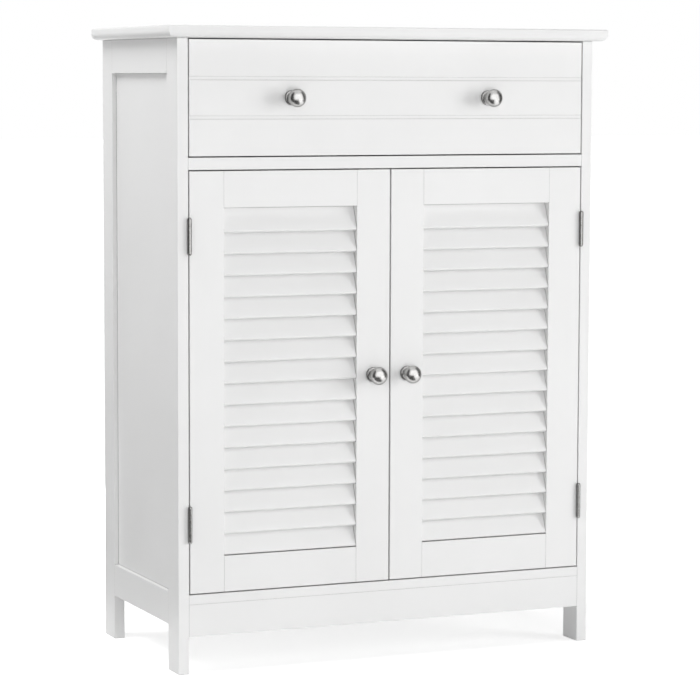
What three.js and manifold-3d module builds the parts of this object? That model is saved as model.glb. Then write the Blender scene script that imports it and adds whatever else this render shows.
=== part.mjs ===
// Louvred door cabinet: a drawer over a pair of louvred doors, on four legs that run on as the corners.
// Millimetres, +Z up. The front faces -Y, and the origin is on the floor under the middle of the whole.
import * as THREE from 'three';
import { mergeVertices, toCreasedNormals } from 'three/addons/utils/BufferGeometryUtils.js';
import Module from 'manifold-3d';

const wasm = await Module();
wasm.setup();

// Overall size and the top board
const cabinetHeight = 800;
const topBoardWidth = 600;
const topBoardDepth = 300;
const topBoardThickness = 15;
const topOverhang = 15;
const topEdgeRadius = 2;
const topUnderRadius = 8;

// Side frames: two legs, two rails and a recessed panel in a rebate
const legWidth = 38;
const legThickness = 14;
const sideTopRailHeight = 43;
const sideBottomRailHeight = 41.5;
const sideBottomRailLift = 57.5;
const panelRecess = 6;
const panelRebate = 6;

// Boards between the side frames
const apronLift = 46.5;
const apronHeight = 40.5;
const apronThickness = 14;
const bottomBoardThickness = 12;
const dividerThickness = 15;
const backPanelThickness = 4;
const backRebate = 6;

// Reveals round the doors and the drawer front, and clearances between seated pieces
const reveal = 1.6;
const centreReveal = 2;
const seatClearance = 0.3;
const cutOverrun = 1;

// Adjustable shelf on four pins, with rows of spare holes
const shelfThickness = 12;
const shelfSideClearance = 1.5;
const shelfFrontSetback = 4;
const shelfBackClearance = 1;
const pinFrontInset = 27;
const pinBackInset = 18;
const pinHolePitch = 32;
const pinHoleRows = 3;
const pinHoleDepth = 9;
const pinRadius = 2.4;
const pinLength = 8;
const pinCollarRadius = 4;
const pinCollarThickness = 1;

// Drawer
const drawerFrontHeight = 142.4;
const drawerFrontThickness = 15;
const plankPitch = 48;
const plankGrooveWidth = 4.6;
const plankGrooveDepth = 1;
const drawerRearClearance = 26;
const drawerSideHeight = 100;
const drawerSideThickness = 12;
const drawerSideLift = 8.5;
const drawerBottomThickness = 4;
const drawerBottomLift = 6;
const drawerBottomHousing = 5;
const drawerKnobSpanShare = 0.25;

// Drawer runners: strips on the side frames that fill a groove in each drawer side
const runnerThickness = 8;
const runnerHeight = 12;
const runnerRearClearance = 17;
const runnerFrontSetback = 4;
const runnerRunningGap = 0.4;

// Doors: mortised stiles and rails round a bank of fixed slats
const doorThickness = 18;
const stileWidth = 45;
const doorRailHeight = 45;
const doorKnobLift = 2.5;
const tenonLength = 12;
const tenonThickness = 6;
const tenonShoulder = 10;
const slatCount = 16;
const slatWidth = 32;
const slatThickness = 5.5;
const slatEdgeRadius = 1.5;
const slatTiltDegrees = 22.5;
const slatHousingDepth = 6;

// Knobs: a flanged foot, a hollow neck and a domed head
const knobLength = 27;
const knobHeadRadius = 11.3;
const knobDomeHeight = 8.6;
const knobRimThickness = 1.2;
const knobFootRadius = 9;
const knobFootThickness = 1.8;
const knobNeckRadius = 5;
const knobNeckReach = 9.5;

// Butt hinges: leaves that share the reveal and knuckles that stand proud of the front
const upperHingeInset = 79.5;
const lowerHingeInset = 86.5;
const leafGap = 0.4;
const leafWidth = 14;
const leafHeight = 42;
const leafScrewSpacing = 28;
const leafScrewInset = 8;
const leafScrewRadius = 1.6;
const leafCountersinkRadius = 2.7;
const leafCountersinkRim = 0.2;
const knuckleCount = 5;
const knuckleRadius = 2.5;
const knuckleGap = 0.3;
const hingePinRadius = 1.2;
const hingePinHeadRadius = 2.4;
const hingePinHeadHeight = 2.4;

// Double magnetic catch under the divider, and its strike plates on the doors
const catchWidth = 44;
const catchHeight = 14;
const catchDepth = 16;
const catchChamfer = 3;
const catchEarLength = 9;
const catchEarThickness = 2;
const catchEarDepth = 12;
const catchScrewRadius = 1.8;
const magnetSpacing = 30;
const magnetWidth = 14;
const magnetHeight = 5;
const magnetDepth = 12;
const magnetDrop = 9;
const magnetProud = 0.8;
const strikeWidth = 20;
const strikeHeight = 12;
const strikeThickness = 1;

// Facets of the round shapes
const knobFacets = 24;
const hingeFacets = 12;
const holeFacets = 10;
const edgeSteps = 2;
const topUnderSteps = 6;
const knobCurveSteps = 3;
const knobDomeSteps = 5;
const headSteps = 3;
const runnerEndSteps = 6;
const creaseAngle = Math.PI / 5;
const mergeTolerance = 1e-4;

// Places worked out from the sizes above
const caseWidth = topBoardWidth - 2 * topOverhang;
const caseDepth = topBoardDepth - topOverhang;
const frontReach = Math.max(topOverhang, knobLength);
const frontFace = frontReach - (caseDepth + frontReach) / 2;
const backFace = frontFace + caseDepth;
const outerX = caseWidth / 2;
const innerX = outerX - legThickness;
const caseTop = cabinetHeight - topBoardThickness;
const frontLegBack = frontFace + legWidth;
const backLegFront = backFace - legWidth;
const backInside = backFace - backPanelThickness;
const panelThickness = legThickness - panelRecess;
const sideBottomRailTop = sideBottomRailLift + sideBottomRailHeight;
const sideTopRailBottom = caseTop - sideTopRailHeight;
const bottomBoardUnder = apronLift + apronHeight;
const bottomBoardTop = bottomBoardUnder + bottomBoardThickness;
const drawerFrontTop = caseTop - reveal;
const drawerFrontBottom = drawerFrontTop - drawerFrontHeight;
const dividerTop = drawerFrontBottom - reveal;
const dividerUnder = dividerTop - dividerThickness;

const doorTop = dividerUnder - reveal;
const doorBottom = bottomBoardTop + reveal;
const doorEdge = innerX - reveal;
const doorLatchEdge = centreReveal / 2;
const doorWidth = doorEdge - doorLatchEdge;
const doorBack = frontFace + doorThickness;
const openingTop = doorTop - doorRailHeight;
const openingBottom = doorBottom + doorRailHeight;
const slatTilt = THREE.MathUtils.degToRad(slatTiltDegrees);

const pinRowZ = (bottomBoardTop + dividerUnder) / 2;
const shelfUnder = pinRowZ + pinRadius + seatClearance;

const drawerBoxFront = frontFace + drawerFrontThickness;
const drawerBoxBack = backInside - drawerRearClearance;
const drawerSideOuter = doorEdge;
const drawerSideInner = drawerSideOuter - drawerSideThickness;
const drawerSideBottom = drawerFrontBottom + drawerSideLift;
const drawerSideTop = drawerSideBottom + drawerSideHeight;
const drawerPanelZ = drawerSideBottom + drawerBottomLift;
const runnerZ = (drawerSideBottom + drawerSideTop) / 2;

const leafThickness = (reveal - leafGap) / 2;
const pinHoleRadius = hingePinRadius + seatClearance;
const hingeAxisX = innerX - reveal / 2;
const hingeAxisY = frontFace - knuckleRadius - seatClearance;
const knuckleLength = (leafHeight - (knuckleCount - 1) * knuckleGap) / knuckleCount;

const magnetZ = dividerUnder - magnetDrop;
const magnetFace = doorBack + strikeThickness + seatClearance;
const catchFront = magnetFace + magnetProud;

const left = -1;
const right = 1;
const sideNames = new Map([[left, 'left'], [right, 'right']]);

// Materials
const paintedBoard = new THREE.MeshStandardMaterial({ color: 0xf3f3f1, roughness: 0.45, metalness: 0 });
const paintedHardboard = new THREE.MeshStandardMaterial({ color: 0xefefec, roughness: 0.6, metalness: 0 });
const satinNickel = new THREE.MeshStandardMaterial({ color: 0xb4b1ab, roughness: 0.32, metalness: 1 });
const beech = new THREE.MeshStandardMaterial({ color: 0xd8b98c, roughness: 0.6, metalness: 0 });
const whitePlastic = new THREE.MeshStandardMaterial({ color: 0xeceae4, roughness: 0.5, metalness: 0 });
const magnetSteel = new THREE.MeshStandardMaterial({ color: 0x6f6f70, roughness: 0.5, metalness: 0.8 });

// Closed solids and cuts

function toSolid(geometry) {
  const bare = geometry.clone();
  bare.deleteAttribute('normal');
  bare.deleteAttribute('uv');
  const merged = mergeVertices(bare, mergeTolerance);
  const corners = merged.index.array;
  const triVerts = [];
  for (let i = 0; i < corners.length; i += 3) {
    const [a, b, c] = [corners[i], corners[i + 1], corners[i + 2]];
    if (a !== b && b !== c && c !== a) triVerts.push(a, b, c);
  }
  const vertProperties = new Float32Array(merged.attributes.position.array);
  return new wasm.Manifold(
    new wasm.Mesh({ numProp: 3, vertProperties, triVerts: new Uint32Array(triVerts) }),
  );
}

function toGeometry(solid) {
  const mesh = solid.getMesh();
  const geometry = new THREE.BufferGeometry();
  geometry.setAttribute('position', new THREE.BufferAttribute(mesh.vertProperties, 3));
  geometry.setIndex(new THREE.BufferAttribute(mesh.triVerts, 1));
  return toCreasedNormals(geometry, creaseAngle);
}

function cut(geometry, tools) {
  let solid = toSolid(geometry);
  for (const tool of tools) solid = solid.subtract(toSolid(tool));
  return toGeometry(solid);
}

function join(geometries) {
  let solid = toSolid(geometries[0]);
  for (const other of geometries.slice(1)) solid = solid.add(toSolid(other));
  return toGeometry(solid);
}

function common(first, second) {
  return toGeometry(toSolid(first).intersect(toSolid(second)));
}

// Boards, prisms and turned shapes

function sorted(a, b) {
  return [Math.min(a, b), Math.max(a, b)];
}

function sideSpan(side, inner, outer) {
  return sorted(side * inner, side * outer);
}

function board([x0, x1], [y0, y1], [z0, z1]) {
  const box = new THREE.BoxGeometry(x1 - x0, y1 - y0, z1 - z0);
  return box.translate((x0 + x1) / 2, (y0 + y1) / 2, (z0 + z1) / 2);
}

function extrude(points, depth) {
  return new THREE.ExtrudeGeometry(new THREE.Shape(points), { depth, bevelEnabled: false });
}

// An outline in (y, z), drawn out along x.
function prismAlongX(points, [x0, x1]) {
  const turn = new THREE.Matrix4().makeBasis(
    new THREE.Vector3(0, 1, 0),
    new THREE.Vector3(0, 0, 1),
    new THREE.Vector3(1, 0, 0),
  );
  return extrude(points, x1 - x0).applyMatrix4(turn).translate(x0, 0, 0);
}

// An outline in (x, z), drawn out along y.
function prismAlongY(points, [y0, y1]) {
  const turn = new THREE.Matrix4().makeRotationX(Math.PI / 2);
  return extrude(points, y1 - y0).applyMatrix4(turn).translate(0, y1, 0);
}

// An outline in (x, y), drawn out along z.
function prismAlongZ(points, [z0, z1]) {
  return extrude(points, z1 - z0).translate(0, 0, z0);
}

function point(u, v) {
  return new THREE.Vector2(u, v);
}

function arc(centreU, centreV, radiusU, radiusV, startAngle, endAngle, steps) {
  const points = [];
  for (let step = 0; step <= steps; step += 1) {
    const angle = startAngle + ((endAngle - startAngle) * step) / steps;
    points.push(point(centreU + radiusU * Math.cos(angle), centreV + radiusV * Math.sin(angle)));
  }
  return points;
}

function circle(centreU, centreV, radius, facets) {
  return arc(centreU, centreV, radius, radius, 0, 2 * Math.PI, facets).slice(0, facets);
}

// A (radius, height) profile turned round the z axis.
function turned(profile, facets) {
  return new THREE.LatheGeometry(profile, facets).rotateX(Math.PI / 2);
}

// A turned shape laid over so that its +z end points along x, to the left or to the right.
function turnedTowards(side, profile, facets) {
  return turned(profile, facets).rotateY((side * Math.PI) / 2);
}

// Top board: square back edge, softened top edge and quarter-round under edge

function topEdgeOutline(outer, inward) {
  const under = point(outer + inward * topUnderRadius, caseTop);
  const low = arc(
    under.x,
    caseTop + topUnderRadius,
    inward * topUnderRadius,
    topUnderRadius,
    -Math.PI / 2,
    -Math.PI,
    topUnderSteps,
  );
  const high = arc(
    outer + inward * topEdgeRadius,
    cabinetHeight - topEdgeRadius,
    inward * topEdgeRadius,
    topEdgeRadius,
    Math.PI,
    Math.PI / 2,
    edgeSteps,
  );
  return [...low, ...high];
}

function topBoardGeometry() {
  const halfWidth = topBoardWidth / 2;
  const frontEdge = backFace - topBoardDepth;
  const depthOutline = [
    ...topEdgeOutline(frontEdge, 1),
    point(backFace, cabinetHeight),
    point(backFace, caseTop),
  ];
  const widthOutline = [...topEdgeOutline(-halfWidth, 1), ...topEdgeOutline(halfWidth, -1).reverse()];
  return common(
    prismAlongX(depthOutline, [-halfWidth, halfWidth]),
    prismAlongY(widthOutline, [frontEdge, backFace]),
  );
}

// Side frames

function sidePanelSpans(side) {
  return [
    sideSpan(side, innerX, innerX + panelThickness),
    [frontLegBack - panelRebate, backLegFront + panelRebate],
    [sideBottomRailTop - panelRebate, sideTopRailBottom + panelRebate],
  ];
}

function sidePanelGeometry(side) {
  return board(...sidePanelSpans(side));
}

// The rebate that the side panel lies in, cut from the inside of the legs and rails.
function sidePanelSeat(side) {
  const [, depthSpan, heightSpan] = sidePanelSpans(side);
  return board(sideSpan(side, innerX - cutOverrun, innerX + panelThickness), depthSpan, heightSpan);
}

function backPanelSeat() {
  const halfWidth = innerX + backRebate;
  return board([-halfWidth, halfWidth], [backInside, backFace + cutOverrun], [bottomBoardUnder, caseTop + cutOverrun]);
}

function shelfPinRows() {
  const rows = [];
  for (let row = 0; row < pinHoleRows; row += 1) {
    rows.push(pinRowZ + (row - (pinHoleRows - 1) / 2) * pinHolePitch);
  }
  return rows;
}

function shelfPinHole(side, y, z) {
  const radius = pinRadius + seatClearance;
  const profile = [point(0, -cutOverrun), point(radius, -cutOverrun), point(radius, pinHoleDepth), point(0, pinHoleDepth)];
  return turnedTowards(side, profile, holeFacets).translate(side * innerX, y, z);
}

function legGeometry(side, span, pinY, otherCuts) {
  const tools = [sidePanelSeat(side), ...otherCuts];
  for (const z of shelfPinRows()) tools.push(shelfPinHole(side, pinY, z));
  return cut(board(sideSpan(side, innerX, outerX), span, [0, caseTop]), tools);
}

function frontLegGeometry(side) {
  return legGeometry(side, [frontFace, frontLegBack], frontFace + pinFrontInset, []);
}

function backLegGeometry(side) {
  return legGeometry(side, [backLegFront, backFace], backFace - pinBackInset, [backPanelSeat()]);
}

function sideRailGeometry(side, heightSpan) {
  const rail = board(sideSpan(side, innerX, outerX), [frontLegBack, backLegFront], heightSpan);
  return cut(rail, [sidePanelSeat(side)]);
}

// Boards between the side frames

function crossBoard(depthSpan, heightSpan) {
  return board([-innerX, innerX], depthSpan, heightSpan);
}

function backPanelGeometry() {
  const halfWidth = innerX + backRebate;
  return board([-halfWidth, halfWidth], [backInside, backFace], [bottomBoardUnder, caseTop]);
}

function shelfGeometry() {
  const halfWidth = innerX - shelfSideClearance;
  const depthSpan = [doorBack + shelfFrontSetback, backInside - shelfBackClearance];
  return board([-halfWidth, halfWidth], depthSpan, [shelfUnder, shelfUnder + shelfThickness]);
}

// A plug in the leg, a collar against its face and a peg under the shelf.
function shelfPinGeometry(side) {
  const profile = [
    point(0, -pinCollarThickness - pinLength),
    point(pinRadius, -pinCollarThickness - pinLength),
    point(pinRadius, -pinCollarThickness),
    point(pinCollarRadius, -pinCollarThickness),
    point(pinCollarRadius, 0),
    point(pinRadius, 0),
    point(pinRadius, pinLength),
    point(0, pinLength),
  ];
  return turnedTowards(side, profile, holeFacets);
}

function runnerGeometry(side) {
  const front = drawerBoxFront + runnerFrontSetback;
  const back = backInside - runnerRearClearance;
  const radius = runnerHeight / 2;
  const outline = [
    ...arc(front + radius, runnerZ, radius, radius, Math.PI / 2, (3 * Math.PI) / 2, runnerEndSteps),
    point(back, runnerZ - radius),
    point(back, runnerZ + radius),
  ];
  return prismAlongX(outline, sideSpan(side, innerX - runnerThickness, innerX));
}

// Double magnetic catch

function magnetSpans(side, clearance) {
  const centre = (side * magnetSpacing) / 2;
  const halfWidth = magnetWidth / 2 + clearance;
  const halfHeight = magnetHeight / 2 + clearance;
  return [
    [centre - halfWidth, centre + halfWidth],
    [magnetFace - clearance, magnetFace + magnetDepth + clearance],
    [magnetZ - halfHeight, magnetZ + halfHeight],
  ];
}

function magnetGeometry(side) {
  return board(...magnetSpans(side, 0));
}

function verticalHole(x, y, radius, heightSpan) {
  return prismAlongZ(circle(x, y, radius, holeFacets), heightSpan);
}

function catchGeometry() {
  const half = catchWidth / 2;
  const under = dividerUnder - catchHeight;
  const earUnder = dividerUnder - catchEarThickness;
  const outline = [
    point(-half, dividerUnder),
    point(-half, under + catchChamfer),
    point(-half + catchChamfer, under),
    point(half - catchChamfer, under),
    point(half, under + catchChamfer),
    point(half, dividerUnder),
  ];
  const housing = prismAlongY(outline, [catchFront, catchFront + catchDepth]);
  const earReach = half + catchEarLength;
  const earFront = catchFront + (catchDepth - catchEarDepth) / 2;
  const ears = board([-earReach, earReach], [earFront, earFront + catchEarDepth], [earUnder, dividerUnder]);
  const cuts = [board(...magnetSpans(left, seatClearance)), board(...magnetSpans(right, seatClearance))];
  for (const side of [left, right]) {
    const x = side * (half + catchEarLength / 2);
    const y = earFront + catchEarDepth / 2;
    cuts.push(verticalHole(x, y, catchScrewRadius, [earUnder - cutOverrun, dividerUnder + cutOverrun]));
  }
  return cut(join([housing, ears]), cuts);
}

// Hinges

function leafHeightSpan(centreZ) {
  return [centreZ - leafHeight / 2, centreZ + leafHeight / 2];
}

function knuckleSpan(centreZ, index) {
  const start = centreZ - leafHeight / 2 + index * (knuckleLength + knuckleGap);
  return [start, start + knuckleLength];
}

// A countersunk screw hole whose wide end is on the face that looks into the reveal.
function leafScrewHole(seatX, opening, z) {
  const profile = [
    point(0, -cutOverrun),
    point(leafScrewRadius, -cutOverrun),
    point(leafScrewRadius, leafCountersinkRim),
    point(leafCountersinkRadius, leafThickness),
    point(leafCountersinkRadius, leafThickness + cutOverrun),
    point(0, leafThickness + cutOverrun),
  ];
  return turnedTowards(opening, profile, holeFacets).translate(seatX, frontFace + leafScrewInset, z);
}

// A leaf is a plate on its seat, with a neck and a ring at every other knuckle.
function leafGeometry(side, seatX, opening, centreZ, firstKnuckle) {
  const plateSpan = sorted(seatX, seatX + opening * leafThickness);
  const axisX = side * hingeAxisX;
  const pieces = [board(plateSpan, [frontFace, frontFace + leafWidth], leafHeightSpan(centreZ))];
  for (let index = firstKnuckle; index < knuckleCount; index += 2) {
    const heightSpan = knuckleSpan(centreZ, index);
    pieces.push(board(plateSpan, [hingeAxisY, frontFace + cutOverrun], heightSpan));
    pieces.push(prismAlongZ(circle(axisX, hingeAxisY, knuckleRadius, hingeFacets), heightSpan));
  }
  const [low, high] = leafHeightSpan(centreZ);
  const bore = circle(axisX, hingeAxisY, pinHoleRadius, hingeFacets);
  const cuts = [prismAlongZ(bore, [low - cutOverrun, high + cutOverrun])];
  for (const end of [-1, 1]) {
    cuts.push(leafScrewHole(seatX, opening, centreZ + (end * leafScrewSpacing) / 2));
  }
  return cut(join(pieces), cuts);
}

function frameLeafGeometry(side, centreZ) {
  return leafGeometry(side, side * innerX, -side, centreZ, 0);
}

function doorLeafGeometry(side, centreZ) {
  return leafGeometry(side, side * doorEdge, side, centreZ, 1);
}

// A loose pin with a domed head over each end of the knuckles.
function hingePinGeometry() {
  const half = leafHeight / 2;
  const dome = arc(0, half, hingePinHeadRadius, hingePinHeadHeight, 0, Math.PI / 2, headSteps);
  const upper = [point(hingePinRadius, half), ...dome];
  const lower = upper.map((p) => point(p.x, -p.y)).reverse();
  return turned([...lower, ...upper], hingeFacets);
}

// Drawer

function drawerFrontSpanZ() {
  return [drawerFrontBottom, drawerFrontTop];
}

// The section of the drawer front, with two shallow grooves that part it into planks.
function drawerFrontOutline() {
  const middle = (drawerFrontBottom + drawerFrontTop) / 2;
  const outline = [point(drawerBoxFront, drawerFrontTop), point(drawerBoxFront, drawerFrontBottom)];
  outline.push(point(frontFace, drawerFrontBottom));
  for (const offset of [-plankPitch / 2, plankPitch / 2]) {
    const low = middle + offset - plankGrooveWidth / 2;
    const high = middle + offset + plankGrooveWidth / 2;
    outline.push(point(frontFace, low));
    outline.push(point(frontFace + plankGrooveDepth, low));
    outline.push(point(frontFace + plankGrooveDepth, high));
    outline.push(point(frontFace, high));
  }
  outline.push(point(frontFace, drawerFrontTop));
  return outline;
}

function drawerBottomSpans() {
  const halfWidth = drawerSideInner + drawerBottomHousing;
  const backInner = drawerBoxBack - drawerSideThickness;
  return [
    [-halfWidth, halfWidth],
    [drawerBoxFront - drawerBottomHousing, backInner + drawerBottomHousing],
    [drawerPanelZ, drawerPanelZ + drawerBottomThickness],
  ];
}

function drawerBottomGeometry() {
  return board(...drawerBottomSpans());
}

function drawerFrontGeometry() {
  const front = prismAlongX(drawerFrontOutline(), [-doorEdge, doorEdge]);
  return cut(front, [drawerBottomGeometry()]);
}

// The groove runs out at the back, so that the drawer slides on over its runners.
function runnerGroove(side) {
  const halfHeight = runnerHeight / 2 + runnerRunningGap;
  return board(
    sideSpan(side, innerX - runnerThickness - runnerRunningGap, drawerSideOuter + cutOverrun),
    [drawerBoxFront - cutOverrun, drawerBoxBack + cutOverrun],
    [runnerZ - halfHeight, runnerZ + halfHeight],
  );
}

function drawerSideGeometry(side) {
  const depthSpan = [drawerBoxFront, drawerBoxBack];
  const body = board(sideSpan(side, drawerSideInner, drawerSideOuter), depthSpan, [drawerSideBottom, drawerSideTop]);
  return cut(body, [runnerGroove(side), drawerBottomGeometry()]);
}

function drawerBackGeometry() {
  const depthSpan = [drawerBoxBack - drawerSideThickness, drawerBoxBack];
  const body = board([-drawerSideInner, drawerSideInner], depthSpan, [drawerSideBottom, drawerSideTop]);
  return cut(body, [drawerBottomGeometry()]);
}

// A knob stands on its foot at the origin and points along -Y.
function knobGeometry() {
  const headBase = knobLength - knobDomeHeight;
  const flareRadius = knobHeadRadius - knobRimThickness;
  const flareTop = headBase - knobRimThickness;
  const hollowReach = knobFootRadius - knobNeckRadius;
  const flareReach = flareRadius - knobNeckRadius;
  const profile = [
    point(0, 0),
    point(knobFootRadius, 0),
    ...arc(
      knobFootRadius,
      knobNeckReach,
      hollowReach,
      knobNeckReach - knobFootThickness,
      -Math.PI / 2,
      -Math.PI,
      knobCurveSteps,
    ),
    ...arc(flareRadius, knobNeckReach, flareReach, flareTop - knobNeckReach, Math.PI, Math.PI / 2, knobCurveSteps).slice(1),
    ...arc(0, headBase, knobHeadRadius, knobDomeHeight, 0, Math.PI / 2, knobDomeSteps),
  ];
  return toGeometry(toSolid(turned(profile, knobFacets).rotateX(Math.PI / 2)));
}

// Doors

function doorSpan(side, fromHingeEdge, toHingeEdge) {
  return sorted(side * (doorEdge - fromHingeEdge), side * (doorEdge - toHingeEdge));
}

// The section of one slat: a board with rounded edges, leaning back from its lower front edge.
function slatOutline(centreZ, clearance) {
  const halfWidth = slatWidth / 2 + clearance;
  const halfThickness = slatThickness / 2 + clearance;
  const radius = slatEdgeRadius + clearance;
  const centreY = frontFace + doorThickness / 2;
  const corners = [
    [1, 1],
    [-1, 1],
    [-1, -1],
    [1, -1],
  ];
  const outline = corners.flatMap(([u, v], index) => {
    const start = (index * Math.PI) / 2;
    const centreU = u * (halfThickness - radius);
    const centreV = v * (halfWidth - radius);
    return arc(centreU, centreV, radius, radius, start, start + Math.PI / 2, edgeSteps);
  });
  return outline.map((p) => p.rotateAround(point(0, 0), -slatTilt).add(point(centreY, centreZ)));
}

// The slats share the opening evenly, a clearance inside its rails.
function slatCentres() {
  const straightHalf = slatWidth / 2 - slatEdgeRadius;
  const straightAcross = slatThickness / 2 - slatEdgeRadius;
  const halfHeight = straightHalf * Math.cos(slatTilt) + straightAcross * Math.sin(slatTilt) + slatEdgeRadius;
  const lowest = openingBottom + seatClearance + halfHeight;
  const highest = openingTop - seatClearance - halfHeight;
  const centres = [];
  for (let index = 0; index < slatCount; index += 1) {
    centres.push(lowest + ((highest - lowest) * index) / (slatCount - 1));
  }
  return centres;
}

function railTenon(side, railSpan, fromHingeEdge, toHingeEdge, clearance) {
  const middleY = frontFace + doorThickness / 2;
  const halfThickness = tenonThickness / 2 + clearance;
  return board(
    doorSpan(side, fromHingeEdge, toHingeEdge),
    [middleY - halfThickness, middleY + halfThickness],
    [railSpan[0] + tenonShoulder - clearance, railSpan[1] - tenonShoulder + clearance],
  );
}

const bottomRailSpan = [doorBottom, openingBottom];
const topRailSpan = [openingTop, doorTop];

function railMortises(side, fromHingeEdge, toHingeEdge) {
  return [bottomRailSpan, topRailSpan].map((span) =>
    railTenon(side, span, fromHingeEdge, toHingeEdge, seatClearance),
  );
}

// The hinge stile carries the slats, glued into it by one end.
function hingeStileGeometry(side) {
  const pieces = [board(doorSpan(side, 0, stileWidth), [frontFace, doorBack], [doorBottom, doorTop])];
  const slatStart = stileWidth - slatHousingDepth;
  const slatEnd = doorWidth - stileWidth + slatHousingDepth - seatClearance;
  for (const z of slatCentres()) {
    pieces.push(prismAlongX(slatOutline(z, 0), doorSpan(side, slatStart, slatEnd)));
  }
  return cut(join(pieces), railMortises(side, stileWidth - tenonLength, stileWidth + cutOverrun));
}

// The latch stile is housed for the loose ends of the slats.
function latchStileGeometry(side) {
  const inner = doorWidth - stileWidth;
  const stile = board(doorSpan(side, inner, doorWidth), [frontFace, doorBack], [doorBottom, doorTop]);
  const cuts = railMortises(side, inner - cutOverrun, inner + tenonLength);
  for (const z of slatCentres()) {
    const housingSpan = doorSpan(side, inner - cutOverrun, inner + slatHousingDepth);
    cuts.push(prismAlongX(slatOutline(z, seatClearance), housingSpan));
  }
  return cut(stile, cuts);
}

function doorRailGeometry(side, heightSpan) {
  const shoulder = doorWidth - stileWidth;
  const reach = tenonLength - seatClearance;
  return join([
    board(doorSpan(side, stileWidth, shoulder), [frontFace, doorBack], heightSpan),
    railTenon(side, heightSpan, stileWidth - reach, shoulder + reach, 0),
  ]);
}

function strikePlateGeometry(side) {
  const centre = (side * magnetSpacing) / 2;
  const hole = prismAlongY(circle(centre, magnetZ, leafScrewRadius, holeFacets), [
    doorBack - cutOverrun,
    doorBack + strikeThickness + cutOverrun,
  ]);
  const plate = board(
    [centre - strikeWidth / 2, centre + strikeWidth / 2],
    [doorBack, doorBack + strikeThickness],
    [magnetZ - strikeHeight / 2, magnetZ + strikeHeight / 2],
  );
  return cut(plate, [hole]);
}

// The assembly

function addPiece(parent, name, geometry, material, place = [0, 0, 0]) {
  const mesh = new THREE.Mesh(geometry, material);
  mesh.name = name;
  mesh.position.set(...place);
  parent.add(mesh);
}

const hingeHeights = new Map([
  ['upper', doorTop - upperHingeInset],
  ['lower', doorBottom + lowerHingeInset],
]);

function buildSideFrame(side) {
  const frame = new THREE.Group();
  const name = sideNames.get(side);
  addPiece(frame, `${name}_front_leg`, frontLegGeometry(side), paintedBoard);
  addPiece(frame, `${name}_back_leg`, backLegGeometry(side), paintedBoard);
  addPiece(frame, `${name}_top_rail`, sideRailGeometry(side, [sideTopRailBottom, caseTop]), paintedBoard);
  const lowSpan = [sideBottomRailLift, sideBottomRailTop];
  addPiece(frame, `${name}_bottom_rail`, sideRailGeometry(side, lowSpan), paintedBoard);
  addPiece(frame, `${name}_side_panel`, sidePanelGeometry(side), paintedBoard);
  addPiece(frame, `${name}_drawer_runner`, runnerGeometry(side), beech);
  const pinX = side * innerX;
  addPiece(frame, `${name}_front_shelf_pin`, shelfPinGeometry(side), satinNickel, [
    pinX,
    frontFace + pinFrontInset,
    pinRowZ,
  ]);
  addPiece(frame, `${name}_back_shelf_pin`, shelfPinGeometry(side), satinNickel, [
    pinX,
    backFace - pinBackInset,
    pinRowZ,
  ]);
  for (const [level, z] of hingeHeights) {
    addPiece(frame, `${name}_${level}_hinge_frame_leaf`, frameLeafGeometry(side, z), satinNickel);
    addPiece(frame, `${name}_${level}_hinge_pin`, hingePinGeometry(), satinNickel, [
      side * hingeAxisX,
      hingeAxisY,
      z,
    ]);
  }
  return frame;
}

function buildCase() {
  const body = new THREE.Group();
  const fullDepth = [frontFace, backInside];
  addPiece(body, 'top_board', topBoardGeometry(), paintedBoard);
  addPiece(body, 'bottom_board', crossBoard(fullDepth, [bottomBoardUnder, bottomBoardTop]), paintedBoard);
  addPiece(body, 'drawer_divider', crossBoard(fullDepth, [dividerUnder, dividerTop]), paintedBoard);
  const apronSpan = [frontFace, frontFace + apronThickness];
  addPiece(body, 'front_apron', crossBoard(apronSpan, [apronLift, bottomBoardUnder]), paintedBoard);
  addPiece(body, 'back_panel', backPanelGeometry(), paintedHardboard);
  addPiece(body, 'adjustable_shelf', shelfGeometry(), paintedBoard);
  addPiece(body, 'magnetic_catch', catchGeometry(), whitePlastic);
  addPiece(body, 'left_catch_magnet', magnetGeometry(left), magnetSteel);
  addPiece(body, 'right_catch_magnet', magnetGeometry(right), magnetSteel);
  body.add(buildSideFrame(left), buildSideFrame(right));
  return body;
}

function buildDrawer() {
  const drawer = new THREE.Group();
  const knobZ = (drawerFrontBottom + drawerFrontTop) / 2;
  const knobX = 2 * doorEdge * drawerKnobSpanShare;
  addPiece(drawer, 'drawer_front', drawerFrontGeometry(), paintedBoard);
  addPiece(drawer, 'drawer_back', drawerBackGeometry(), paintedBoard);
  addPiece(drawer, 'drawer_bottom', drawerBottomGeometry(), paintedHardboard);
  for (const side of [left, right]) {
    const name = sideNames.get(side);
    addPiece(drawer, `drawer_${name}_side`, drawerSideGeometry(side), paintedBoard);
    addPiece(drawer, `drawer_${name}_knob`, knobGeometry(), satinNickel, [side * knobX, frontFace, knobZ]);
  }
  return drawer;
}

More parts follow.
